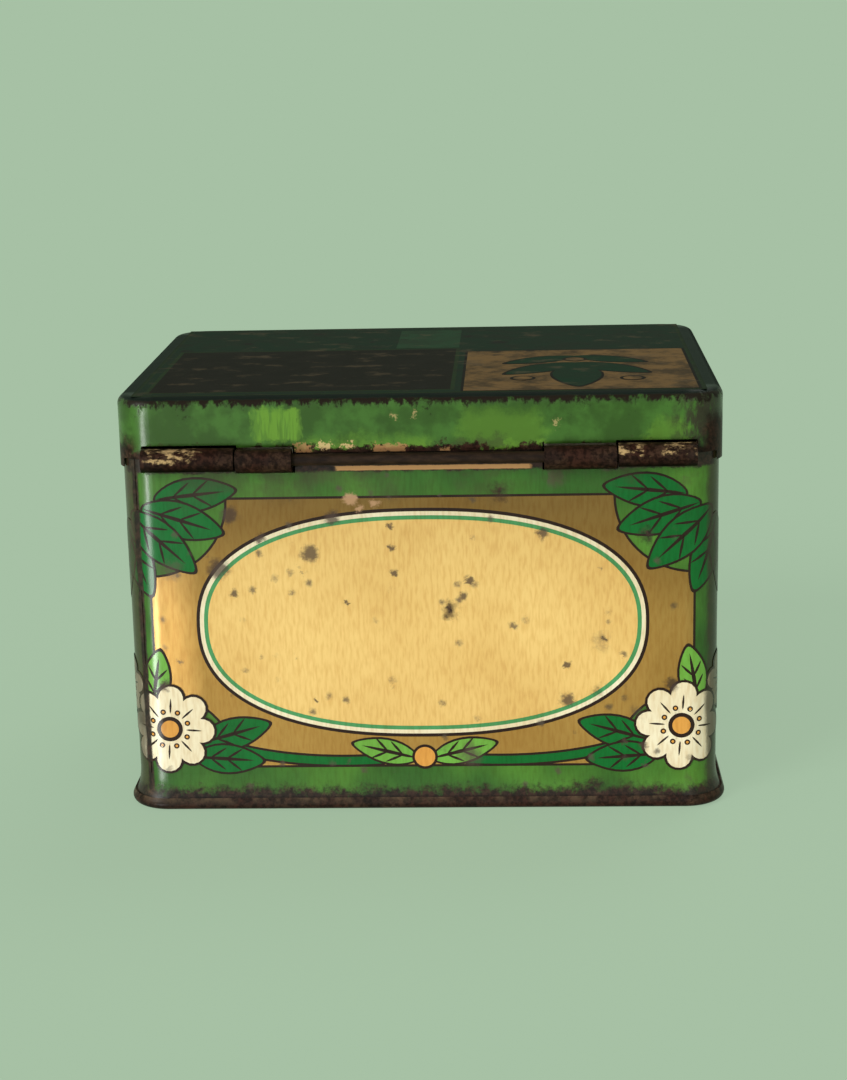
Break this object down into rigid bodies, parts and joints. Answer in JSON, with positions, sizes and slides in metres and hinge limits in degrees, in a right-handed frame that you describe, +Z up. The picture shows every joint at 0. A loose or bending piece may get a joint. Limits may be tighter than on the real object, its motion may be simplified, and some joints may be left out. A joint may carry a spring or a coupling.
{
  "type": "hinged tin box",
  "caption": "Small rectangular tinplate box with rounded corners, a rolled foot and a shallow lid hinged on a wire along its back.",
  "frame": {"origin": "centre of the whole footprint, hinge bead included, on the plane the tin stands on", "axes": "+Z up; X along the hinge; +Y towards the hinged back, -Y towards the front"},
  "size_m": [0.0888, 0.0678, 0.062],
  "materials": {
    "printed_body": "worn printed varnish",
    "printed_lid": "worn printed varnish",
    "base_sheet": "stained varnish over tinplate",
    "wire": "rusty steel"
  },
  "bodies": {
    "case": {"body": "printed_body", "base_panel": "base_sheet", "hinge_wire": "wire"},
    "lid": {"lid": "printed_lid"}
  },
  "joints": [
    {"name": "lid_hinge", "type": "hinge", "parent": "case", "child": "lid", "pos_m": [0, 0.03229, 0.0531], "axis": [-1, 0, 0], "range_deg": [0, 198]}
  ]
}
